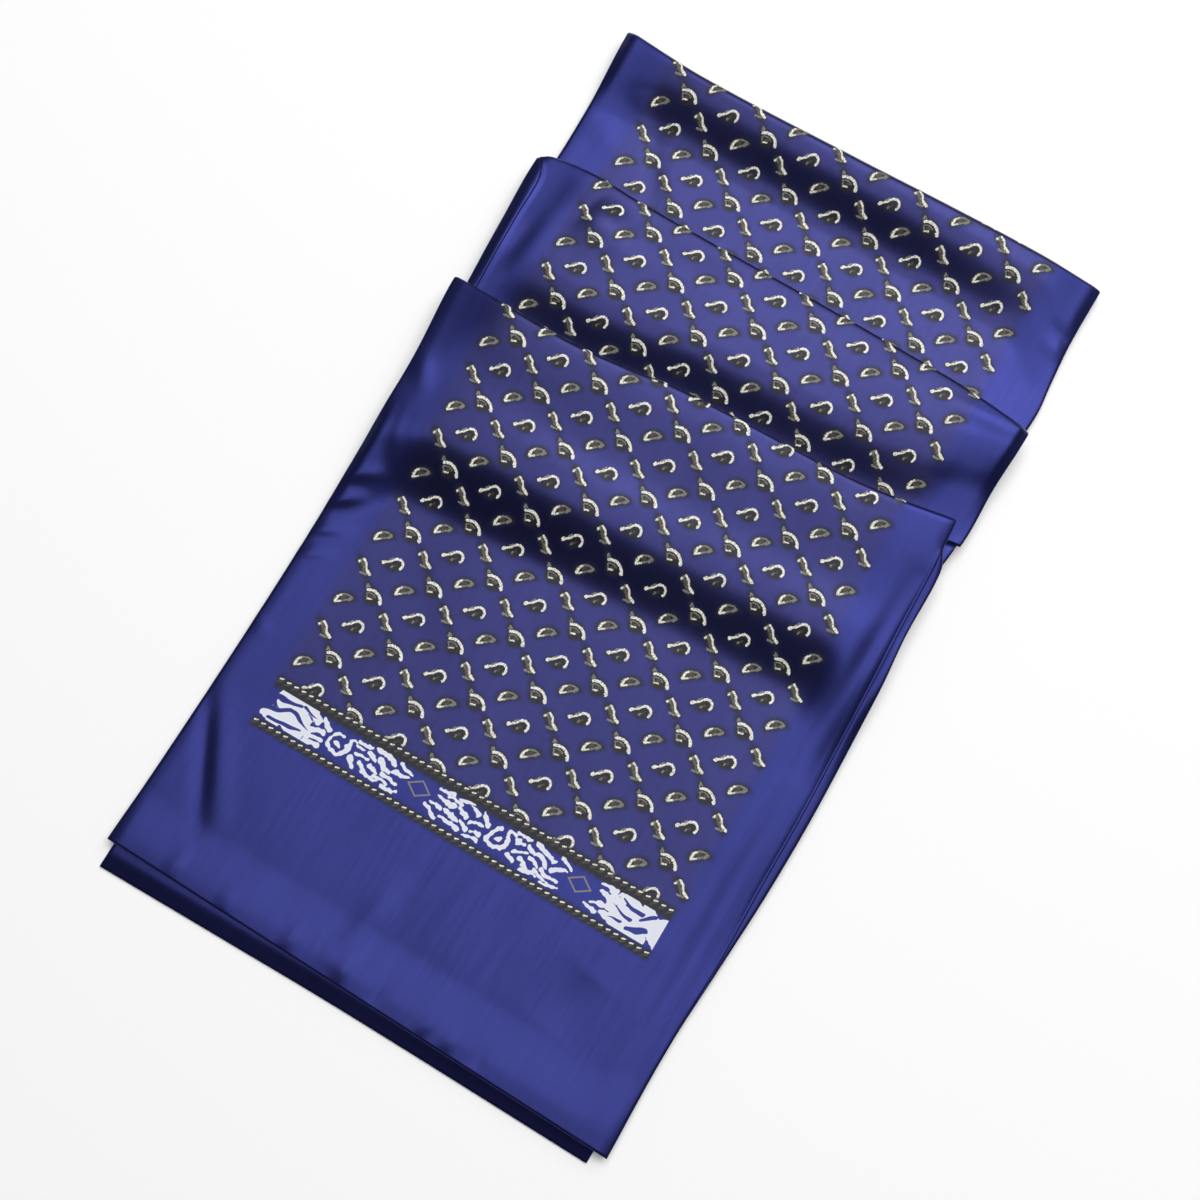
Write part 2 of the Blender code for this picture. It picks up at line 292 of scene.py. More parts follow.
def make_arc():
    """Part of a ring with round ends, from its middle angle by half an angle each way."""
    chain, (place, centre, middle, half, radius, thickness), end = new_group(
        "arc", ("Place", "Centre"), ("Middle", "Half", "Radius", "Thickness"))
    ahead, aside = chain.parts(chain.turned(place - centre, middle))
    side = abs(aside)
    angle = least([chain.sum("ARCTAN2", side, ahead), half])
    on_ring = chain.place(chain.sum("COSINE", angle), chain.sum("SINE", angle))
    away = chain.vector("DISTANCE", chain.place(ahead, side), on_ring.scaled(radius))
    chain.put(end["Distance"], away - thickness)
    return chain.tree


def make_ellipse():
    chain, (place, centre, radii, scale), end = new_group(
        "ellipse", ("Place", "Centre", "Radii"), ("Scale",))
    size = chain.vector("LENGTH", (place - centre) / radii)
    chain.put(end["Distance"], (size - 1.0) * scale)
    return chain.tree


def wrapped(value, period):
    """The value brought into half a period either side of zero."""
    return value - value.chain.sum("ROUND", value / period) * period


STROKE, ARC, ELLIPSE = make_stroke(), make_arc(), make_ellipse()


class Drawing:
    """Draws shapes around one place, with sizes in millimetres and angles in degrees."""

    def __init__(self, place):
        self.place = place

    def shape(self, tree, **values):
        return self.place.chain.group(tree, Place=self.place, **values)[0]

    def line(self, start, end, radius, taper=0.0):
        return self.shape(STROKE, From=(*start, 0.0), To=(*end, 0.0), Radius=radius, Taper=taper)

    def arc(self, centre, radius, middle, half, thickness):
        return self.shape(ARC, Centre=(*centre, 0.0), Radius=radius, Middle=math.radians(middle),
                          Half=math.radians(half), Thickness=thickness)

    def oval(self, centre, radii):
        return self.shape(ELLIPSE, Centre=(*centre, 0.0), Radii=(*radii, 1.0), Scale=min(radii))


print("shapes:", STROKE.name, ARC.name, ELLIPSE.name)

# %% [markdown]
# ## The repeat
# The field is a small repeat of four motifs: a hook, a crescent, a bone and a half-moon. Each
# kind sits on the points of a lattice whose second set of rows is set over by half a repeat,
# as in brickwork. A node group finds the nearest point of such a lattice, and gives the place
# measured from it. The motifs all lean the same way, so that place is also turned.

# %% The nearest motif of a kind
REPEAT = (50.7, 39.0)  # across and along the cloth
LEAN = math.radians(31.0)  # the motifs lean by this much
FIELD_SIDE = 117.0  # motifs further from the middle line than this are left out
FIELD_START = 119.0  # and those nearer to the hem than this
CLOTH_LENGTH = 1600.0  # from hem to hem, with a band near each
FAR_OFF = 99.0  # a distance that no paint reaches


def from_nearer_hem(along):
    return least([along, CLOTH_LENGTH - along])


def make_lattice():
    chain, (place, first), end = new_group(
        "lattice", ("Place", "First"), gives=(("Local", "Vector"), ("Outside", "Float")))
    cell, half = (*REPEAT, 1.0), (REPEAT[0] / 2, REPEAT[1] / 2, 0.5)
    from_first = place - first
    from_corner = from_first - chain.vector("SNAP", from_first + half, cell)
    from_middle = from_first - (chain.vector("SNAP", from_first, cell) + half)
    middle_nearer = chain.sum("LESS_THAN", chain.vector("LENGTH", from_middle),
                              chain.vector("LENGTH", from_corner))
    local = chain.mixed("VECTOR", middle_nearer, from_corner, from_middle) * (1.0, 1.0, 0.0)
    chain.put(end["Local"], chain.turned(local, LEAN))
    across, along = chain.parts(place - local)
    too_wide = chain.sum("GREATER_THAN", abs(across), FIELD_SIDE)
    too_low = chain.sum("LESS_THAN", from_nearer_hem(along), FIELD_START)
    chain.put(end["Outside"], most(too_wide, too_low) * FAR_OFF)
    return chain.tree


LATTICE = make_lattice()
FIRST_HOOK = (1.5, 198.4)
MOTIF_PLACES = {  # first place of each kind, from the middle of the hem
    "hook": FIRST_HOOK,
    "crescent": (FIRST_HOOK[0] + 25.35, FIRST_HOOK[1]),
    "half_moon": (FIRST_HOOK[0] + 12.4, FIRST_HOOK[1] - 9.4),
    "bone": (FIRST_HOOK[0] - 12.4, FIRST_HOOK[1] - 9.4),
}
print("motifs in a repeat:", *MOTIF_PLACES)


# %% The four motifs, each as layers of distances
def hook(draw):
    return {
        "charcoal": [draw.oval((0.5, -1.2), (4.0, 2.6)), draw.line((-5.6, 0.5), (-1.0, 0.7), 1.0)],
        "silver": [draw.line((-2.4, 2.0), (-0.4, 2.8), 0.32), draw.line((-1.3, -1.9), (-0.7, -1.3), 0.40)],
        "core": [draw.line((0.5, -1.3), (1.1, -0.8), 0.35)],
        "cream": [draw.line((-5.6, 0.8), (-5.0, 1.0), 0.85), draw.line((-5.0, 0.9), (-1.4, 1.3), 0.46),
                  draw.line((-1.4, 1.3), (0.6, 2.2), 0.40), draw.arc((1.9, -0.5), 2.9, 22, 84, 0.56)],
    }


def crescent(draw):
    return {
        "charcoal": [draw.oval((-0.9, -1.0), (4.1, 4.2)), draw.line((-3.6, 5.4), (-2.9, 3.4), 1.2)],
        "silver": [draw.line((-3.8, 4.3), (-3.2, 5.6), 0.42), draw.line((-3.0, 5.4), (-2.5, 4.3), 0.36),
                   draw.arc((-2.9, -2.9), 3.9, 62, 42, 0.24), draw.line((-3.6, 0.2), (-3.8, -2.2), 0.26)],
        "core": [draw.oval((-1.2, -1.2), (1.3, 0.9))],
        "cream": [draw.arc((-3.0, -3.6), 6.4, 42, 50, 0.66), draw.line((3.1, -4.2), (3.2, -4.8), 0.8),
                  draw.line((-3.3, -1.9), (-1.3, -2.4), 0.34)],
    }


def bone(draw):
    return {
        "charcoal": [draw.line((-1.5, 3.6), (1.3, -3.7), 2.0)],
        "silver": [draw.line((-0.6, 3.3), (0.1, 0.0), 1.15), draw.line((0.1, -0.8), (1.5, -3.4), 1.0),
                   draw.line((-2.8, 3.0), (-0.8, 4.0), 0.72), draw.line((-1.9, -2.8), (0.6, -4.0), 0.5)],
        "core": [draw.line((-0.7, 3.0), (-0.1, 1.0), 0.62), draw.line((0.0, -1.0), (0.7, -3.0), 0.5),
                 draw.line((-1.3, 1.2), (-0.7, -0.6), 0.40)],
        "cream": [draw.line((-0.2, 4.4), (1.1, 1.9), 0.48), draw.line((1.1, 1.9), (1.1, -1.4), 0.44),
                  draw.line((1.4, -1.9), (2.9, -4.2), 0.66), draw.line((-2.9, 3.0), (-2.5, 3.3), 0.46)],
    }


def half_moon(draw):
    chain = draw.place.chain
    across, along = chain.parts(draw.place)
    foot = chain.sum("MULTIPLY_ADD", across, 0.14, -2.0) - along
    dome = most(draw.oval((0.1, -1.4), (5.1, 3.7)), foot)
    # The rim is thick and light at its left and thins out along its foot.
    rim = chain.sum("MULTIPLY_ADD", across, 0.03, abs(dome + 0.50) - 0.40)
    return {
        "charcoal": [dome - 0.5],
        "silver": [rim, draw.line((4.2, -0.5), (2.7, -1.2), 0.75)],
        "core": [draw.oval((-0.2, 0.1), (1.6, 0.9))],
        "cream": [draw.line((-4.6, -1.8), (-2.9, 0.8), 0.55), draw.line((-2.9, 0.9), (-1.2, 1.6), 0.42),
                  draw.line((-4.4, -2.0), (-1.8, -1.8), 0.36)],
    }


MOTIFS = {"hook": hook, "crescent": crescent, "bone": bone, "half_moon": half_moon}


def field_layers(place):
    """The nearest distance to each paint of the field, over all four kinds of motif."""
    layers = {}
    for name, draw_motif in MOTIFS.items():
        local, outside = place.chain.group(LATTICE, Place=place, First=(*MOTIF_PLACES[name], 0.0))
        for paint, distances in draw_motif(Drawing(local)).items():
            layers.setdefault(paint, []).append(least(distances) + outside)
    return {paint: least(distances) for paint, distances in layers.items()}


def chain_lines(place):
    """Distance to the faint dark lines that join crescents and bones slantwise."""
    across, along = place.chain.parts(place - (*MOTIF_PLACES["crescent"], 0.0))
    apart = REPEAT[0] * REPEAT[1] / math.hypot(*REPEAT)
    return abs(wrapped(across / REPEAT[0] + along / REPEAT[1], 1.0)) * apart


# %% [markdown]
# ## The border band
# Near each end a band of white scrollwork runs across the cloth between two twisted cords. The
# scrolls here are plain strokes around a ring, nobody's in particular. A little noise moves
# the place that they are drawn around, which gives them the uneven edge of a hand-cut block.
# Towards both ends of the band the strokes swell until hardly any ground is left.

# %% Cords and scrolls
def table(kind, *rows):
    """A short table whose columns have names."""
    return [kind(*row) for row in rows]


Cord = namedtuple("Cord", "dashes low high")
CORDS = table(Cord, (93.2, 90.2, 94.2), (117.8, 113.2, 118.9))  # from the hem
CORD_PITCH = 4.5
BAND_MIDDLE, BAND_HALF = 104.3, 8.8
BAND_SIDE = 118.5
GROUND_START = 118.0  # the field's darker ground starts here
BAND_TILT = 0.010  # the band was printed a little askew
SCROLL_REPEAT, FIRST_RING = 96.0, 22.3
CUTS_OPEN = 1.2  # a cut opens where the strokes have swollen by more than this
LOZENGE_SIZE, LOZENGE_LINE, LOZENGE_SIDE = 3.6, 0.30, 100.0
Stroke = namedtuple("Stroke", "x y end_x end_y half")
SCROLL_STROKES = table(Stroke,  # right of the ring, measured from its middle, from the top row down
    (9.0, 6.6, 17.0, 7.6, 1.1), (21.0, 7.2, 31.5, 4.6, 1.6),
    (34.0, 7.4, 41.0, 5.0, 1.2), (8.5, 3.2, 14.0, 4.4, 1.0),
    (16.5, 4.4, 21.0, 1.6, 1.3), (23.5, 2.6, 30.5, 0.4, 1.5),
    (33.0, 1.4, 39.0, 2.8, 1.1), (9.5, -0.9, 16.5, 0.8, 1.0),
    (19.0, -1.2, 25.5, -2.8, 1.2), (28.5, -2.0, 36.5, -3.6, 1.3),
    (8.0, -4.0, 13.0, -7.0, 1.4), (14.5, -3.8, 19.0, -6.4, 1.1),
    (19.5, -7.6, 27.0, -6.8, 1.3), (25.0, -4.6, 32.0, -6.0, 1.2),
    (30.5, -7.9, 38.5, -7.0, 1.1),
)
SCROLL_CUTS = table(Stroke,  # lines left blue where the strokes swell and run together
    (17.0, 1.8, 30.0, -1.6, 0.50), (30.0, -1.6, 46.0, 3.4, 0.60),
    (13.0, -3.4, 25.0, -6.6, 0.50), (27.0, -6.0, 42.0, -5.2, 0.45),
    (21.0, 5.0, 38.0, 6.8, 0.50), (7.0, 2.4, 16.0, 6.4, 0.50),
    (5.5, -5.4, 12.0, -0.6, 0.45),
)
print(len(SCROLL_STROKES), "strokes and", len(SCROLL_CUTS), "cuts on one side of a ring")


def cord_layers(across, along):
    """Dark twisted cords with a slanted light dash on every turn."""
    chain = across.chain
    ends = abs(across) - BAND_SIDE
    turn = wrapped(across, CORD_PITCH)
    scallop = chain.sum("COSINE", across * (2 * math.pi / CORD_PITCH)) * 0.3
    layers = {"charcoal": [], "core": [], "cream": []}
    for cord in CORDS:
        draw = Drawing(chain.place(turn, along - cord.dashes))
        layers["charcoal"].append(most(cord.low - along, along - cord.high) - scallop)
        layers["core"].append(draw.line((-1.5, -2.3), (0.7, -0.9), 0.34))
        layers["cream"].append(draw.line((-0.85, -0.28), (0.85, 0.28), 0.38, 0.3))
    return {name: most(least(distances), ends) for name, distances in layers.items()}


def scroll_layers(across, along):
    """White scrollwork, and a thin lozenge in the gap between two runs of it."""
    chain = across.chain
    place = chain.place(across, along)
    shift = (chain.noise(place, 0.11)[1] - GREY).scaled(3.6)
    moved_across, moved_along = chain.parts(place + shift)
    run, above = wrapped(moved_across - FIRST_RING, SCROLL_REPEAT), moved_along - BAND_MIDDLE
    draw = Drawing(chain.place(run, above))
    # The scroll looks the same when it is turned half round a ring, so half of it is enough.
    side = chain.sum("SIGN", run)
    turned = Drawing(chain.place(run * side, above * side))

    def strokes(rows, taper):
        return least([turned.line((row.x, row.y), (row.end_x, row.end_y), row.half, taper)
                      for row in rows])

    scroll = least([
        strokes(SCROLL_STROKES, 0.5), draw.arc((0.0, -0.6), 4.9, 235, 150, 0.92),
        draw.oval((0.2, -0.7), (1.9, 1.2)), draw.arc((5.9, 3.4), 1.9, 120, 80, 0.72)])
    swell = chain.eased(abs(across), 80.0, 102.0, 0.0, 1.9)
    worn = (chain.noise(place, 0.45)[0] - 0.5) * 1.3
    cuts = swell - CUTS_OPEN - strokes(SCROLL_CUTS, 0.0)
    inside = most(abs(along - BAND_MIDDLE) - BAND_HALF, abs(across) - BAND_SIDE)
    # The lozenge stands half a repeat from a ring and keeps its straight sides.
    beside = abs(wrapped(across - (FIRST_RING + SCROLL_REPEAT / 2), SCROLL_REPEAT))
    lozenge = beside * 0.56 + abs(along - (BAND_MIDDLE + 1.0)) * 0.83 - LOZENGE_SIZE
    outline = most(abs(lozenge) - LOZENGE_LINE, abs(across) - LOZENGE_SIDE)
    return {"white": most(scroll - swell + worn, cuts, inside), "bronze": most(outline, inside)}


# %% [markdown]
# ## Satin
# Silk satin has long threads that float on its face, side by side along the scarf. They mirror
# light sharply along their length and spread it across, so the shader is anisotropic, with
# its tangent across the cloth. The dyed threads tint what they mirror, as the metallic share
# of the shader does, so bare cloth has a large one. Paint lies on the threads and dulls them,
# so each paint takes that share away and shows its own colour in its place.

# %% The paints, and how one is laid over another
Paint = namedtuple("Paint", "colour softness strength")
SHEEN_BLUE = (0.0210, 0.0250, 0.1230)
FIELD_BLUE = (0.0235, 0.0245, 0.0930)
BACKING_BLUE = (0.0200, 0.0235, 0.1130)
THREAD_SHARE = 0.84  # how much of the light the bare threads mirror in their own colour
PAINTS = {  # in the order that they are laid on
    "charcoal": Paint((0.020, 0.021, 0.022), 0.7, 0.86),
    "silver": Paint((0.215, 0.215, 0.195), 0.35, 0.92),
    "core": Paint((0.075, 0.062, 0.050), 0.5, 0.90),
    "cream": Paint((0.800, 0.785, 0.700), 0.24, 1.0),
    "white": Paint((0.720, 0.740, 0.820), 0.22, 1.0),
    "bronze": Paint((0.230, 0.205, 0.135), 0.25, 0.85),
}
SHADOW = Paint((0.010, 0.010, 0.016), 2.6, 0.50)
DULLED = Paint(FIELD_BLUE, 8.0, 1.0)
CHAIN_LINE = Paint((0.010, 0.010, 0.030), 3.2, 0.40)
Coat = namedtuple("Coat", "colour threads")  # a colour, and the share of bare thread
print("paints:", *PAINTS)


def lay_on(coat, paint, distance, mottle=None):
    """Paint over a coat where the distance is below zero, with a soft edge."""
    chain = distance.chain
    cover = chain.eased(distance, paint.softness, -paint.softness / 2, 0.0, paint.strength)
    mottled = chain.vector("MULTIPLY", paint.colour, mottle) if mottle else (*paint.colour, 1.0)
    return Coat(chain.mixed("RGBA", cover, coat.colour, mottled), coat.threads * (1.0 - cover))


def printed(ground, shade):
    """The ground with the whole print on it, as a colour and the share of bare thread."""
    chain = shade.chain
    place = chain.value("UVMap", uv_map=PRINT_MAP).scaled(MM)
    across, along = chain.parts(place)
    from_hem = from_nearer_hem(along)
    outside = most(abs(across) - BAND_SIDE, GROUND_START - from_hem)
    coat = lay_on(Coat(ground, 1.0), DULLED, outside)
    coat = Coat(coat.colour * shade, THREAD_SHARE)
    coat = lay_on(coat, CHAIN_LINE, most(chain_lines(place), outside))
    # The motifs look engraved: their edges wander a little and their paint is uneven.
    grain, wander = chain.noise(place, 1.1, 1.0)
    mottle = chain.value("MapRange", grain, 0.34, 0.58, 0.60, 1.12)
    field = field_layers(place + (wander - GREY).scaled(0.8))
    askew = chain.sum("MULTIPLY_ADD", across, -BAND_TILT, from_hem)
    for layers in (field, cord_layers(across, askew)):
        coat = lay_on(coat, SHADOW, layers["charcoal"])
        for name in PAINTS:
            if name in layers:
                coat = lay_on(coat, PAINTS[name], layers[name], mottle)
    for name, distance in scroll_layers(across, askew).items():
        coat = lay_on(coat, PAINTS[name], distance)
    return coat


# %% The satin shader
# The streaks in it: how many to a metre across and along, and their detail.
THREADS, SLUBS, DYE = (4200.0, 120.0, 0.0), (420.0, 30.0, 1.0), (22.0, 16.0, 2.0)
THREAD_BUMP, THREAD_HEIGHT = 0.12, 0.00003
SATIN = {  # what is the same all over it
    "Specular IOR Level": 0.15,
    "Anisotropic": 0.55,
    "Sheen Weight": 0.03,
    "Sheen Roughness": 0.45,
    "Sheen Tint": (0.45, 0.47, 1.0, 1.0),
}


def satin(name, blue, with_print):
    material = bpy.data.materials.new(name)
    material.use_nodes = True
    chain = Chain(material.node_tree)
    shader = material.node_tree.nodes["Principled BSDF"]
    cloth = chain.value("UVMap", uv_map=PRINT_MAP)

    def streaks(across, along, detail):
        return chain.noise(cloth * (across, along, 1.0), 1.0, detail)[0]

    threads, slubs, dye = streaks(*THREADS), streaks(*SLUBS), streaks(*DYE)
    shade = chain.value("MapRange", dye, 0.3, 0.7, 0.95, 1.05)
    fine = chain.value("MapRange", threads, 0.2, 0.8, 0.95, 1.05)
    shade = chain.value("CombineXYZ", *[shade * fine] * 3)
    if with_print:
        coat = printed((*blue, 1.0), shade)
    else:
        coat = Coat(chain.vector("MULTIPLY", blue, shade), THREAD_SHARE)
    bump = chain.node("Bump")
    bump.inputs["Strength"].default_value = THREAD_BUMP
    bump.inputs["Distance"].default_value = THREAD_HEIGHT
    chain.fill(shader, **SATIN, **{
        "Base Color": coat.colour, "Metallic": coat.threads,
        "Roughness": chain.value("MapRange", slubs, 0.25, 0.75, 0.29, 0.33),
        "Normal": chain.fill(bump, Height=threads)[0],
        "Tangent": chain.value("Tangent", direction_type="UV_MAP", uv_map=PRINT_MAP),
    })
    print(f"{name}: {len(material.node_tree.nodes)} nodes")
    return material


printed_satin = satin("printed satin", SHEEN_BLUE, with_print=True)
plain_satin = satin("plain satin", BACKING_BLUE, with_print=False)

# %% [markdown]
# ## How the cloth lies
# The scarf lies in leaves, one on another. Each leaf is given by a few short tables: the lines
# of its hems and folds, its side edges, and where its surface climbs and falls. Smooth curves
# run through the lines and edges. The climbs are the shape that a sculptor would push into the
# sheet first, and the creases come on top of them.

# %% Reading tables
def smooth(value):
    value = np.clip(value, 0.0, 1.0)
    return value * value * (3 - 2 * value)


def mix(low, high, amount):
    return low + (high - low) * amount


def curve(places, values, at):
    """Read values at any place on a smooth curve through them, straight beyond its ends."""
    places, values, at = (np.asarray(given, float) for given in (places, values, at))
    steps = np.diff(values) / np.diff(places)
    slopes = np.concatenate([steps[:1], (values[2:] - values[:-2]) / (places[2:] - places[:-2]), steps[-1:]])
    inside = np.clip(at, places[0], places[-1])
    first = np.clip(np.searchsorted(places, inside, side="right") - 1, 0, len(places) - 2)
    span = places[first + 1] - places[first]
    share = (inside - places[first]) / span
    eased = smooth(share)
    bend = span * share * (1 - share)
    read = (mix(values[first], values[first + 1], eased)
            + bend * ((1 - share) * slopes[first] - share * slopes[first + 1]))
    return read + np.where(at < inside, slopes[0], slopes[-1]) * (at - inside)


def column(rows, name):
    return [getattr(row, name) for row in rows]


def upright(*parts):
    """Short runs of numbers, one after another, as one column."""
    return np.concatenate(parts)[:, None]


def line_at(rows, across):
    return curve(column(rows, "across"), column(rows, "along"), across)


def edge_at(rows, name, along):
    return curve(column(rows, "along"), column(rows, name), along)


# %% The lines of the hems and folds, and the side edges, in metres
LineRow = namedtuple("LineRow", "across along")
FRONT_HEM = table(LineRow, (-0.150, 0.0015), (0.000, 0.0000), (0.150, -0.0015))
UNDER_HEM = table(LineRow,
    (-0.150, -0.0128), (-0.075, -0.0110), (0.000, -0.0094),
    (0.150, -0.0090),
)
FRONT_FOLD = table(LineRow,
    (-0.150, 0.3485), (-0.085, 0.3472), (-0.045, 0.3508),
    (-0.020, 0.3546), (0.030, 0.3574), (0.080, 0.3590),
    (0.115, 0.3628), (0.145, 0.3682),
)
MIDDLE_FOLD = table(LineRow,
    (-0.154, 0.4318), (-0.146, 0.4360), (-0.120, 0.4384),
    (-0.092, 0.4373), (0.100, 0.4357), (0.154, 0.4306),
)
REAR_FOLD = table(LineRow,
    (-0.150, 0.5244), (-0.100, 0.5198), (0.000, 0.5212),
    (0.050, 0.5228), (0.100, 0.5242), (0.150, 0.5252),
)

EdgeRow = namedtuple("EdgeRow", "along face_left face_right backing_left backing_right")
FRONT_EDGES = table(EdgeRow,
    (0.000, -0.1486, 0.1507, -0.1480, 0.1502),
    (0.050, -0.1476, 0.1499, -0.1468, 0.1495),
    (0.110, -0.1471, 0.1512, -0.1462, 0.1526),
    (0.150, -0.1472, 0.1505, -0.1462, 0.1546),
    (0.200, -0.1478, 0.1502, -0.1468, 0.1551),
    (0.268, -0.1489, 0.1475, -0.1478, 0.1525),
    (0.300, -0.1498, 0.1460, -0.1487, 0.1499),
    (0.340, -0.1541, 0.1450, -0.1530, 0.1488),
    (0.354, -0.1545, 0.1438, -0.1538, 0.1433),
    (0.369, -0.1538, 0.1428, -0.1532, 0.1423),
)
MIDDLE_EDGES = table(EdgeRow,
    (0.345, -0.1424, 0.1500, -0.1480, 0.1494),
    (0.366, -0.1430, 0.1523, -0.1492, 0.1517),
    (0.395, -0.1444, 0.1518, -0.1511, 0.1512),
    (0.420, -0.1458, 0.1528, -0.1530, 0.1522),
    (0.434, -0.1530, 0.1532, -0.1535, 0.1526),
)
REAR_EDGES = table(EdgeRow,
    (0.427, -0.1460, 0.1515, -0.1454, 0.1510),
    (0.448, -0.1461, 0.1526, -0.1455, 0.1520),
    (0.465, -0.1466, 0.1510, -0.1460, 0.1505),
    (0.490, -0.1476, 0.1492, -0.1470, 0.1487),
    (0.526, -0.1498, 0.1493, -0.1492, 0.1488),
)
UNDER_EDGES = table(EdgeRow,
    (-0.013, -0.1454, 0.1434, -0.1448, 0.1429),
    (0.200, -0.1450, 0.1452, -0.1444, 0.1447),
    (0.450, -0.1452, 0.1478, -0.1446, 0.1473),
    (0.517, -0.1498, 0.1493, -0.1492, 0.1488),
)

# %% [markdown]
# ## Where the cloth climbs and falls
# Folded silk doesn't lie in flat steps. It is thick at its sewn hem, sinks behind it, and climbs
# where there are folds beneath. Each climb or fall is one row: where it starts and ends, how far it
# slants, how much sooner it starts at each seam, and how high it is at six stations from seam to
# seam. The four hidden leaves under the front leaf are 10.4 mm thick, so its climb is about that,
# and a little more where the cloth stands off them.
# Half millimetres are near enough, because cloth never lies the same twice.

# %% Climbs and falls, in millimetres
STATIONS = (-142, -112, -45, 45, 112, 142)  # from the left seam to the right one
SEAM_TO_SEAM = 300.0
PLAIN_MARGIN = 36.0  # width over which the cloth grows loose towards a seam
Swell = namedtuple("Swell", "start end slant sooner_left sooner_right "
                   "left_seam left left_middle right_middle right right_seam")

HEM_HEIGHT = 6.5  # the seam in the front hem, above the floor
FRONT_SWELLS = table(Swell,  # from the front hem
    (6, 34, 0, 0, 0, -1.5, -2.0, -2.5, -2.5, -2.0, -1.0),  # behind the thick hem
    (90, 220, 0, 0, 0, 0.5, 1.0, 2.5, 1.5, 0.5, 1.0),  # towards the pleats
    (232, 282, 20, 40, 36, 10.0, 12.0, 12.0, 10.5, 11.0, 9.5),  # over the hidden leaves
    (286, 304, 10, 0, 0, 0.5, 0.0, -1.0, -0.5, -0.5, 0.0),  # settled on top of them
    (304, 345, 10, 16, 0, 2.0, 5.0, 4.5, 3.5, 3.5, 0.5),  # up to the front fold
)
UNDER_FRONT_FOLD = 9.0  # the middle leaf, where it comes out
MIDDLE_SWELLS = table(Swell,  # from the front fold
    (-8, 32, 4, 14, 0, 7.0, 9.0, 10.0, 9.5, 8.5, 4.5),  # out from under it
    (18, 50, 0, 0, 0, 0.0, 0.0, 0.0, 0.0, 2.0, 6.0),  # later at the right seam
    (56, 90, 0, 0, 0, -2.0, -2.0, -3.0, -2.5, -3.5, -3.5),  # down to its own fold
)
UNDER_MIDDLE_FOLD = 4.5  # the rear leaf, where it comes out
REAR_SWELLS = table(Swell,  # from the middle fold
    (39, 80, 0, 4, 20, 9.0, 11.5, 12.5, 12.5, 10.0, 4.0),  # up to the rear fold
)


def swollen(near_height, swells, across, along):
    """Height in metres after all the climbs and falls on the way."""
    total = near_height
    for swell in swells:
        size = curve(STATIONS, swell[-len(STATIONS):], across * MM)
        slanted = swell.slant * across * MM / SEAM_TO_SEAM
        from_left, from_right = SEAM_TO_SEAM / 2 + across * MM, SEAM_TO_SEAM / 2 - across * MM
        sooner = (swell.sooner_left * smooth(1 - from_left / PLAIN_MARGIN)
                  + swell.sooner_right * smooth(1 - from_right / PLAIN_MARGIN))
        run = swell.end - swell.start + sooner
        total = total + size * smooth((along * MM - swell.start - slanted + sooner) / run)
    return total / MM


print(len(FRONT_SWELLS) + len(MIDDLE_SWELLS) + len(REAR_SWELLS), "climbs and falls")

# %% [markdown]
# ## Creases
# A crease is a soft ridge, or a trough where its height is below zero, along a line between two
# points. It is round across and dies away towards both ends. They differ in length, depth and
# direction, because silk that has been handled never creases evenly.

# %% Creases, in millimetres from the middle of the front hem
Crease = namedtuple("Crease", "start end width height")
GONE_AT_ENDS = 0.6  # how much of its height a crease has lost at its ends
FRONT_CREASES = table(Crease,
    # a slanting crease in the left margin, with a ridge beside it
    ((-146, 92), (-113, 30), 4.6, -0.90), ((-137, 92), (-104, 36), 6.5, 0.60),
    # puckers along the left edge
    ((-150, 176), (-132, 186), 3.2, 0.70), ((-150, 190), (-130, 202), 3.4, 0.85),
    ((-150, 207), (-134, 220), 3.0, 0.80), ((-149, 224), (-132, 236), 3.6, 0.60),
    ((-148, 258), (-132, 262), 11.0, 1.00), ((-143, 300), (-136, 286), 5.0, 0.90),
    ((-146, 282), (-134, 240), 4.5, -0.60), ((-150, 140), (-138, 132), 4.0, 0.35),
    # long soft folds that run up from the hem
    ((2, 22), (8, 88), 4.6, 0.60), ((17, 26), (23, 86), 5.0, 0.55),
    ((32, 20), (36, 82), 5.4, 0.50), ((-14, 14), (-8, 54), 8.0, 1.10),
    ((94, 36), (100, 70), 16.0, -0.90), ((124, 20), (122, 92), 6.0, -0.50),
    ((60, 22), (64, 74), 6.0, 0.25), ((-70, 20), (-66, 70), 9.0, 0.30),
    # puckers at the hem
    ((-42, 1), (-40, 14), 3.2, 0.55), ((-10, 1), (-9, 15), 3.0, 0.55),
    ((10, 1), (12, 16), 3.2, -0.50), ((39, 1), (42, 14), 3.0, 0.55),
    ((54, 1), (55, 12), 3.0, 0.50), ((72, 1), (70, 15), 3.6, -0.45),
    ((-78, 1), (-80, 12), 3.6, 0.40), ((-112, 1), (-110, 16), 4.0, 0.40),
    # the valley inside the rolled seam on the right
    ((138, 216), (141, 330), 7.5, -2.20), ((139, 40), (140, 205), 7.5, -1.50),
    ((129, 96), (127, 340), 7.0, 0.50),
    # faint handling marks across the field
    ((-100, 210), (-40, 150), 12.0, -0.45), ((-20, 225), (60, 190), 14.0, 0.35),
    ((20, 150), (100, 125), 13.0, -0.25), ((-110, 120), (-60, 150), 12.0, 0.35),
)
MIDDLE_CREASES = table(Crease,
    ((-112, 418), (-90, 413), 12.0, 2.20), ((-128, 372), (-124, 432), 6.0, 0.40),
    ((-138, 366), (-134, 396), 5.0, -0.50), ((126, 372), (136, 410), 9.0, -0.70),
    ((60, 396), (84, 430), 12.0, 0.40), ((-40, 430), (10, 412), 12.0, -0.30),
    ((108, 424), (150, 426), 4.5, 0.50),
)
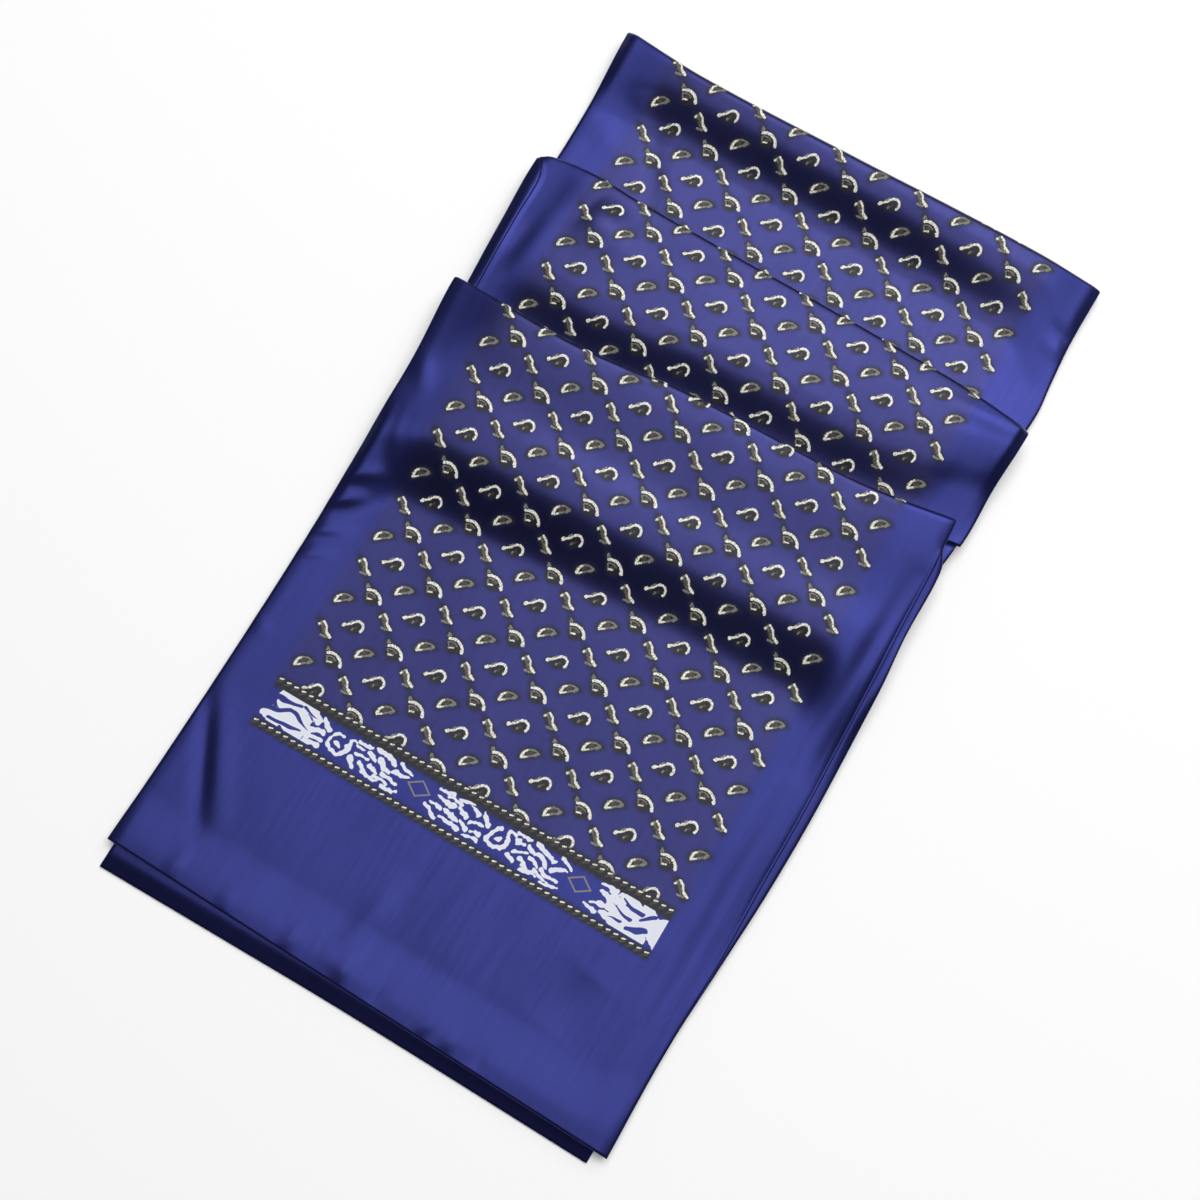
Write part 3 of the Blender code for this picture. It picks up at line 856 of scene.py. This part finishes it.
REAR_CREASES = table(Crease,
    ((-86, 440), (-110, 484), 7.0, -0.75), ((-140, 470), (-122, 462), 8.0, 0.50),
    ((-124, 498), (-118, 484), 7.0, 0.50), ((152, 488), (138, 494), 3.2, -0.80),
    ((150, 480), (134, 484), 3.8, 0.45), ((-10, 452), (30, 478), 12.0, 0.25),
    ((112, 452), (148, 458), 8.0, -0.35), ((70, 470), (40, 448), 10.0, -0.25),
)


def crease_height(creases, across, along):
    total = np.zeros(np.broadcast(across, along).shape)
    for crease in creases:
        (x, y), (end_x, end_y) = crease.start, crease.end
        run_x, run_y = (end_x - x) / MM, (end_y - y) / MM
        reach_x, reach_y = across - x / MM, along - y / MM
        share = np.clip((reach_x * run_x + reach_y * run_y) / (run_x ** 2 + run_y ** 2), 0.0, 1.0)
        away = np.hypot(reach_x - run_x * share, reach_y - run_y * share) * MM / crease.width
        fade = 1 - GONE_AT_ENDS * (2 * share - 1) ** 2
        total = total + crease.height * fade * np.exp(-away ** 2)
    return total / MM


print(len(FRONT_CREASES) + len(MIDDLE_CREASES) + len(REAR_CREASES), "creases")

# %% [markdown]
# ## A leaf as two sheets
# Each leaf has a face and a backing that meet in a seam along its sides. A sheet starts as a
# grid primitive, flat and even. Its rows are then laid along the leaf: from its near end, round
# its fold and a little way back. Its columns are laid from seam to seam, close together where
# the cloth rounds over the edge. Where the seam has rolled onto the top, the backing comes
# round the edge and shows as a strip beside the face.

# %% Sizes of the double cloth
PITCH = 0.0026  # from one resting leaf to the next
LOWEST = 0.00115  # height of the middle of the leaf that lies on the floor
PLY_RISE = 0.0008  # from the middle of the double cloth to the middle of a ply
CLOTH_WALL = 0.00034  # thickness of a sheet
TUCK = 0.0100  # how far a leaf runs back under its own fold
EDGE_ROLL = 0.0021  # how far from the seam the cloth is rounded
EDGE_DROOP = 0.006  # how far from the side the cloth sinks to rest
SIDE_SHARE = 0.68  # how much of its height the cloth keeps at its side
FOLD_DEPTH = 0.50  # how deep a pressed fold is, as a share of a round one
FOLD_CLOTH = 0.77  # and how much cloth it takes
BEFORE_FOLD = 0.004  # how far before its fold a leaf's height is read
CLIMB_START, CLIMB_END = 0.240, 0.286  # where the front leaf's edges climb
SEAM_ON_TOP = 0.62  # where a rolled seam lies, as a share of the ply's rise
ROLL_STARTS = 0.0015  # a strip of backing this wide has the seam all the way on top
LEAVES = 6
print(f"{LEAVES} leaves lie {LEAVES * PITCH * MM:.1f} mm high")


def level(number):
    """Height of the middle of a leaf that rests on so many others."""
    return number * PITCH + LOWEST


Leaf = namedtuple("Leaf", "name begin fold edges height turned cloth_at_zero hem")


def ramp(along):
    """The front leaf's climb over the hidden pleats, at its edges."""
    return mix(level(1), level(5), smooth((along - CLIMB_START) / (CLIMB_END - CLIMB_START)))


def settled(edges, rest, raised, across, along):
    """Let the cloth sink to its resting height at its side edges."""
    left = np.minimum(edge_at(edges, "face_left", along), edge_at(edges, "backing_left", along))
    right = np.maximum(edge_at(edges, "face_right", along), edge_at(edges, "backing_right", along))
    inward = np.minimum(across - left, right - across)
    return rest + (raised - rest) * mix(SIDE_SHARE, 1.0, smooth(inward / EDGE_DROOP))


LIFTED_CORNER, LIFT, LIFT_REACH = (0.145, 0.368), 0.0045, 0.060


def front_height(across, along):
    raised = swollen(HEM_HEIGHT, FRONT_SWELLS, across, along) + crease_height(FRONT_CREASES, across, along)
    away = np.hypot(across - LIFTED_CORNER[0], along - LIFTED_CORNER[1])
    return (settled(FRONT_EDGES, ramp(along), raised, across, along)
            + LIFT * smooth(1 - away / LIFT_REACH))


def height_beyond(fold, near_height, swells, creases, edges, rest):
    """How high a leaf lies that comes out from under a fold, as a function of place."""
    def height(across, along):
        raised = swollen(near_height, swells, across, along - line_at(fold, across))
        return settled(edges, rest, raised + crease_height(creases, across, along), across, along)
    return height


def behind(rows, distance):
    return [LineRow(row.across, row.along - distance) for row in rows]


FRONT = Leaf("front", FRONT_HEM, FRONT_FOLD, FRONT_EDGES, front_height, level(4), 0.0, True)
MIDDLE = Leaf(
    "middle", behind(FRONT_FOLD, TUCK), MIDDLE_FOLD, MIDDLE_EDGES,
    height_beyond(FRONT_FOLD, UNDER_FRONT_FOLD, MIDDLE_SWELLS, MIDDLE_CREASES, MIDDLE_EDGES, level(3)),
    level(2), 0.2028, False)
REAR = Leaf(
    "rear", behind(MIDDLE_FOLD, TUCK), REAR_FOLD, REAR_EDGES,
    height_beyond(MIDDLE_FOLD, UNDER_MIDDLE_FOLD, REAR_SWELLS, REAR_CREASES, REAR_EDGES, level(1)),
    level(0), 0.5305, False)
for leaf in (FRONT, MIDDLE, REAR):
    print(f"{leaf.name} leaf: its fold is {leaf.fold[-1].along:.4f} m from the hem at the right")


# %% Rows along a leaf
Rows = namedtuple("Rows", "share angle back")
HEM_ANGLES = np.radians((0, 22, 44, 62, 78, 90))
HEM_ROLL = 0.0013
AFTER_HEM = np.array((0.0017, 0.0023, 0.0032))
CLEAR_OF_HEM = 1.3  # even rows start this much further on than the last of those
HALF_WIDTH = 0.150


def leaf_rows(leaf, flat_rows, turn_rows, back_rows=3):
    """Rows from the near end, round the fold and back, as the three numbers that place each."""
    share = np.linspace(0.0, 1.0, flat_rows)
    if leaf.hem:
        length = leaf.fold[0].along - leaf.begin[0].along
        near = np.concatenate([HEM_ROLL * (1 - np.cos(HEM_ANGLES)), AFTER_HEM]) / length
        share = np.concatenate([near, share[share > near[-1] * CLEAR_OF_HEM]])
    angle = np.linspace(0.0, math.pi, turn_rows + 1)[1:]
    back = np.linspace(0.0, TUCK, back_rows + 1)[1:]
    flat, turned, tucked = len(share), len(angle), len(back)
    return Rows(upright(share, np.ones(turned + tucked)),
                upright(np.zeros(flat), angle, np.full(tucked, math.pi)),
                upright(np.zeros(flat + turned), back))


def leaf_middle(leaf, rows, across):
    """Along, up and cloth length at each row and place across, in the middle of the leaf."""
    fold = line_at(leaf.fold, across)
    radius = (leaf.height(across, fold - BEFORE_FOLD) - leaf.turned) / 2
    turn_start = fold - FOLD_DEPTH * radius
    begin = line_at(leaf.begin, across)
    flat = begin + (turn_start - begin) * rows.share
    radius = (leaf.height(across, turn_start) - leaf.turned) / 2
    turning = rows.angle > 0
    along = np.where(turning, turn_start + FOLD_DEPTH * radius * np.sin(rows.angle) - rows.back, flat)
    up = np.where(turning, leaf.turned + radius * (1 + np.cos(rows.angle)), leaf.height(across, flat))
    cloth = leaf.cloth_at_zero + flat + FOLD_CLOTH * radius * rows.angle + rows.back
    return along, up, cloth


LINE_REACH, LINE_PLACES = 0.155, 32


def tucked_end(leaf):
    """The line where a leaf stops under its own fold, and the next layer goes on from it."""
    places = np.linspace(-LINE_REACH, LINE_REACH, LINE_PLACES)
    along, _, _ = leaf_middle(leaf, leaf_rows(leaf, 2, 2), places[None, :])
    return [LineRow(place, end) for place, end in zip(places, along[-1])]


# %% Columns across a leaf
Edges = namedtuple("Edges", "seam_left seam_right side_left side_right top_left top_right")


def edges_at(rows, left_along, right_along):
    """Where the seams and sides lie, and how far each seam has rolled onto the top."""
    face_left, back_left = (edge_at(rows, f"{ply}_left", left_along) for ply in ("face", "backing"))
    face_right, back_right = (edge_at(rows, f"{ply}_right", right_along) for ply in ("face", "backing"))
    return Edges(face_left, face_right, np.minimum(face_left, back_left),
                 np.maximum(face_right, back_right),
                 smooth((face_left - back_left) / ROLL_STARTS),
                 smooth((back_right - face_right) / ROLL_STARTS))


ROUND = np.radians(np.linspace(0.0, 90.0, 7))
WELT = 0.45  # how proud a seam on the top stands, as a share of the ply's rise


def between_sides(left, left_offset, right, right_offset, middle_columns, middle_offset):
    """All columns from side to side, and their offsets in metres."""
    inner = np.linspace(0.0, 1.0, middle_columns + 2)[1:-1][None, :]
    middle = mix(left[:, -1:], right[:, -1:], inner)
    across = np.concatenate([left, middle, right[:, ::-1]], axis=1)
    offset = np.concatenate([left_offset, np.full_like(middle, middle_offset),
                             right_offset[:, ::-1]], axis=1)
    return across, offset * PLY_RISE


def face_columns(edges, middle_columns):
    """Place across and offset from the leaf's middle, for a face sheet's columns."""
    def side(seam, top, inward):
        low, seam = SEAM_ON_TOP * top[:, None], seam[:, None]
        offset = low + (1 - low) * np.sin(ROUND)[None, :]
        welt = top[:, None] * np.sin(2 * ROUND)[None, :]
        return seam + inward * (EDGE_ROLL * (1 - np.cos(ROUND)[None, :])), offset + WELT * welt

    left, left_offset = side(edges.seam_left, edges.top_left, 1.0)
    right, right_offset = side(edges.seam_right, edges.top_right, -1.0)
    return between_sides(left, left_offset, right, right_offset, middle_columns, 1.0)


STRIP, BACK_TURN = np.linspace(0.0, 1.0, 4)[1:], np.linspace(0.0, 1.0, 9)
BACK_ROLL = 0.8  # the backing rounds an edge more tightly than the face
PAST_SEAM = 0.0012  # how far the backing runs under the face at a rolled seam
STRIP_SINKS = 0.55  # how far it sinks there, as a share of the ply's rise


def backing_columns(edges, middle_columns):
    """The same for a backing sheet, which may come round a side and show as a strip."""
    def side(edge, seam, top, inward):
        top = top[:, None]
        angle = mix(-math.pi / 2, math.pi / 2 * top, BACK_TURN[None, :])
        across = edge[:, None] + inward * EDGE_ROLL * BACK_ROLL * (1 - np.cos(angle))
        offset = np.sin(angle)
        strip_end = mix(across[:, -1:], seam[:, None] + inward * PAST_SEAM, top)
        strip = mix(across[:, -1:], strip_end, STRIP[None, :])
        strip_offset = mix(offset[:, -1:], offset[:, -1:] - STRIP_SINKS * top, STRIP[None, :] ** 2)
        return (np.concatenate([across, strip], axis=1)[:, ::-1],
                np.concatenate([offset, strip_offset], axis=1)[:, ::-1])

    left, left_offset = side(edges.side_left, edges.seam_left, edges.top_left, 1.0)
    right, right_offset = side(edges.side_right, edges.seam_right, edges.top_right, -1.0)
    return between_sides(left, left_offset, right, right_offset, middle_columns, -1.0)


# %% Laying a grid out as a sheet
def lay_sheet(name, points, cloth, face_up, material):
    """A grid primitive whose corners are laid at points, then given the cloth's thickness."""
    rows, columns = points.shape[:2]
    bpy.ops.object.select_all(action="DESELECT")
    bpy.ops.mesh.primitive_grid_add(x_subdivisions=columns - 1, y_subdivisions=rows - 1, size=2.0)
    piece = bpy.context.object
    piece.name = piece.data.name = name
    flat = np.array([vertex.co for vertex in piece.data.vertices])
    number = np.rint((flat[:, :2] + 1) / 2 * (columns - 1, rows - 1)).astype(int)
    laid = points[number[:, 1], number[:, 0]] + HEM_MIDDLE
    piece.data.vertices.foreach_set("co", laid.astype(np.float32).ravel())
    corner = np.empty(len(piece.data.loops), np.int32)
    piece.data.loops.foreach_get("vertex_index", corner)
    uv = piece.data.uv_layers[0]
    uv.name = PRINT_MAP
    uv.data.foreach_set("uv", cloth[number[:, 1], number[:, 0]][corner].astype(np.float32).ravel())
    bpy.ops.object.mode_set(mode="EDIT")
    bpy.ops.mesh.select_all(action="SELECT")
    bpy.ops.mesh.remove_doubles(threshold=0.00002)
    if not face_up:
        bpy.ops.mesh.flip_normals()
    bpy.ops.object.mode_set(mode="OBJECT")
    bpy.ops.object.shade_smooth()
    wall = piece.modifiers.new("cloth wall", "SOLIDIFY")
    wall.thickness, wall.offset = CLOTH_WALL, 0.0
    bpy.ops.object.modifier_apply(modifier=wall.name)
    piece.data.materials.append(material)
    print(f"{name}: {len(piece.data.polygons)} faces")
    return piece


def outward(along, up):
    """Unit normal of the leaf's middle, from how it runs from row to row."""
    run, climb = np.gradient(along, axis=0), np.gradient(up, axis=0)
    length = np.maximum(np.hypot(run, climb), 1e-9)
    return -climb / length, run / length


DRIFT, DRIFT_START, DRIFT_RUN = 0.006, 0.240, 0.110


def print_drift(along):
    """The pattern runs a little to the left as it nears the front fold."""
    return DRIFT * smooth((along - DRIFT_START) / DRIFT_RUN)


def leaf_sheet(leaf, ply, middle_columns, flat_rows, turn_rows, material):
    rows = leaf_rows(leaf, flat_rows, turn_rows)
    sides = (leaf_middle(leaf, rows, np.full((1, 1), side))[0] for side in (-HALF_WIDTH, HALF_WIDTH))
    edges = edges_at(leaf.edges, *(np.maximum.accumulate(along[:, 0]) for along in sides))
    place = face_columns if ply == "face" else backing_columns
    across, offset = place(edges, middle_columns)
    along, up, cloth = leaf_middle(leaf, rows, across)
    normal_along, normal_up = outward(along, up)
    if leaf.hem:
        from_hem = np.clip((along - line_at(leaf.begin, across)) / HEM_ROLL, 0.0, 1.0)
        offset = offset * np.sqrt(1 - (1 - from_hem) ** 2)
    points = np.stack([across, along + normal_along * offset, up + normal_up * offset], axis=-1)
    measure = np.stack([across + print_drift(along) * (leaf is FRONT), cloth], axis=-1)
    return lay_sheet(f"{leaf.name}_{ply}", points, measure, ply == "face", material)


# %% [markdown]
# ## The leaves that show
# The front leaf lies on top and is the largest of the three, so its face has the most cells.
# A backing shows only at the edges and needs far fewer.

# %% Front, middle and rear leaves
sheets = {}
for leaf, face_grid, backing_grid in (  # columns, rows along, rows round the fold
        (FRONT, (138, 178, 14), (60, 120, 10)),
        (MIDDLE, (138, 50, 14), (60, 40, 10)),
        (REAR, (138, 56, 18), (60, 44, 12))):
    sheets[leaf.name, "face"] = leaf_sheet(leaf, "face", *face_grid, printed_satin)
    sheets[leaf.name, "backing"] = leaf_sheet(leaf, "backing", *backing_grid, plain_satin)

# %% [markdown]
# ## The leaf under them all
# The under leaf runs from the rear fold back to the scarf's other hem, which shows below the
# front hem as a narrow strip. It lies face down on the floor, so its backing is on top. That
# backing slopes down to the hem, which is why the strip looks so dark.

# %% Under leaf
UNDER_SLOPE = 0.0095  # the hem's thickness runs out over this length
NEAR_HEM, NEAR_ROWS, FAR_ROWS, UNDER_COLUMNS = 0.016, 14, 44, 60
BACKING_AT_HEM = 0.0007  # its height there
FACE_SINKS = 0.6  # how far the face sinks to the floor at the hem
STEEP_SHARE = 0.35  # how much of the slope is steep at the hem


def under_sheet(ply, material):
    near = np.linspace(0.0, NEAR_HEM, NEAR_ROWS)
    length = REAR_FOLD[2].along - UNDER_HEM[2].along - TUCK
    share = upright(near / length, np.linspace(NEAR_HEM / length, 1.0, FAR_ROWS)[1:])
    left = mix(UNDER_HEM[0].along, REAR_FOLD[0].along - TUCK, share)[:, 0]
    right = mix(UNDER_HEM[-1].along, REAR_FOLD[-1].along - TUCK, share)[:, 0]
    edges = edges_at(UNDER_EDGES, left, right)
    across, offset = face_columns(edges, UNDER_COLUMNS)
    begin = line_at(UNDER_HEM, across)
    end = line_at(tucked_end(REAR), across)
    along = mix(begin, end, share)
    from_hem = along - begin
    if ply == "face":
        offset = -offset * np.sqrt(1 - (1 - np.clip(from_hem / EDGE_ROLL, 0.0, 1.0)) ** 2)
        up = level(0) + offset - FACE_SINKS * (level(0) - PLY_RISE) * (1 - smooth(from_hem / UNDER_SLOPE))
        up = np.maximum(up, CLOTH_WALL / 2)
    else:
        fall = np.clip(from_hem / UNDER_SLOPE, 0.0, 1.0)
        up = mix(BACKING_AT_HEM, level(0) + offset,
                 np.sqrt(fall) * STEEP_SHARE + smooth(fall) * (1 - STEEP_SHARE))
    cloth = np.stack([across, CLOTH_LENGTH / MM - (along - begin)], axis=-1)
    points = np.stack([across, along, up], axis=-1)
    return lay_sheet(f"under_{ply}", points, cloth, ply == "backing", material)


sheets["under", "face"] = under_sheet("face", printed_satin)
sheets["under", "backing"] = under_sheet("backing", plain_satin)

# %% [markdown]
# ## The hidden pleats
# Between the leaves the cloth runs back towards the hem and out again, twice. Nobody sees those
# pleats from above, but from the side their edges show as layers. A pleat's two sheets start
# where the leaf above ends, turn back at its own fold and end where the leaf below begins.

# %% Pleats
Pleat = namedtuple("Pleat", "name start nose end upper lower upper_sides lower_sides "
                   "upper_joins lower_joins cloth")
UPPER_NOSE, LOWER_NOSE = 0.2655, 0.2850  # where each turns back
STEP_AT, STEP_RUN = 0.263, 0.021  # where the upper pleat climbs onto the lower one
PLEAT_ROWS, TURN_ROWS, PLEAT_COLUMNS, MEASURED_COLUMN = 26, 9, 30, 20
JOIN_RUN = 0.35  # share of a pleat over which its sides come in from its joins


def on_pleat(along):
    """The upper pleat lies on the under leaf at its own fold, and climbs onto the lower pleat."""
    return level(1) - level(3) + (level(3) - level(1)) * smooth((along - STEP_AT) / STEP_RUN)


UPPER = Pleat("upper_pleat", tucked_end(FRONT), UPPER_NOSE, behind(FRONT_FOLD, TUCK),
              lambda along: level(4) + on_pleat(along), lambda along: level(3) + on_pleat(along),
              (-0.1462, 0.1420), (-0.1440, 0.1462), (-0.1530, 0.1424), (-0.1470, 0.1498), 0.372)
LOWER = Pleat("lower_pleat", tucked_end(MIDDLE), LOWER_NOSE, behind(MIDDLE_FOLD, TUCK),
              lambda along: np.full_like(along, level(2)), lambda along: np.full_like(along, level(1)),
              (-0.1470, 0.1450), (-0.1452, 0.1468), (-0.1525, 0.1526), (-0.1458, 0.1512), 0.655)


def pleat_sheet(pleat, ply, material):
    share = upright(np.linspace(0, 1, PLEAT_ROWS), np.ones(TURN_ROWS - 2), np.linspace(1, 0, PLEAT_ROWS))
    angle = upright(np.zeros(PLEAT_ROWS - 1), np.linspace(0, math.pi, TURN_ROWS),
                    np.full(PLEAT_ROWS - 1, math.pi))
    lower = smooth(angle / math.pi)[:, 0]
    near = smooth(1 - share[:, 0] / JOIN_RUN)  # its sides run on from the layer that it joins
    sides = zip(pleat.upper_sides, pleat.lower_sides, pleat.upper_joins, pleat.lower_joins)
    left, right = (mix(mix(upper_side, lower_side, lower), mix(upper_join, lower_join, lower), near)
                   for upper_side, lower_side, upper_join, lower_join in sides)
    plain = np.zeros_like(left)
    across, offset = face_columns(Edges(left, right, left, right, plain, plain), PLEAT_COLUMNS)
    far = np.where(angle > math.pi / 2, line_at(pleat.end, across), line_at(pleat.start, across))
    flat = mix(far, pleat.nose, share)
    top, bottom = pleat.upper(flat), pleat.lower(flat)
    radius = PITCH / 2
    along = flat - radius * np.sin(angle)
    up = (top + bottom) / 2 + (top - bottom) / 2 * np.cos(angle)
    normal_along, normal_up = outward(along, up)
    side = 1.0 if ply == "face" else -1.0
    points = np.stack([across, along + side * normal_along * offset,
                       up + side * normal_up * offset], axis=-1)
    steps = np.hypot(np.diff(along[:, MEASURED_COLUMN]), np.diff(up[:, MEASURED_COLUMN]))
    travelled = pleat.cloth + upright([0.0], np.cumsum(steps))
    cloth = np.stack([across, np.broadcast_to(travelled, across.shape)], axis=-1)
    return lay_sheet(f"{pleat.name}_{ply}", points, cloth, ply == "face", material)


for pleat in (UPPER, LOWER):
    sheets[pleat.name, "face"] = pleat_sheet(pleat, "face", printed_satin)
    sheets[pleat.name, "backing"] = pleat_sheet(pleat, "backing", plain_satin)

# %% [markdown]
# ## Hanging the sheets on the body
# Every sheet rides on the one body, and the solid that it stands for is hidden.

# %% The sheets on the body
STRETCHES = {  # the solid each stands for, its cut length and what it rests on
    "front": ("front_leaf_{}", 0.385, "upper_pleat_backing"),
    "middle": ("middle_leaf_{}", 0.108, "lower_pleat_backing"),
    "rear": ("rear_leaf_{}", 0.118, "under_backing"),
    "under": ("under_leaf_{}", 0.518, "floor"),
    "upper_pleat": ("hidden_layers", 0.165, "lower_pleat_face"),
    "lower_pleat": ("hidden_layers", 0.295, "under_backing"),
}
for (stretch, ply), sheet in sheets.items():
    node, length, below = STRETCHES[stretch]
    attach(sheet, "root")
    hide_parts(node.format(ply))
    "printed_satin" if ply == "face" else "plain_satin"
print(len(sheets), "sheets declared")
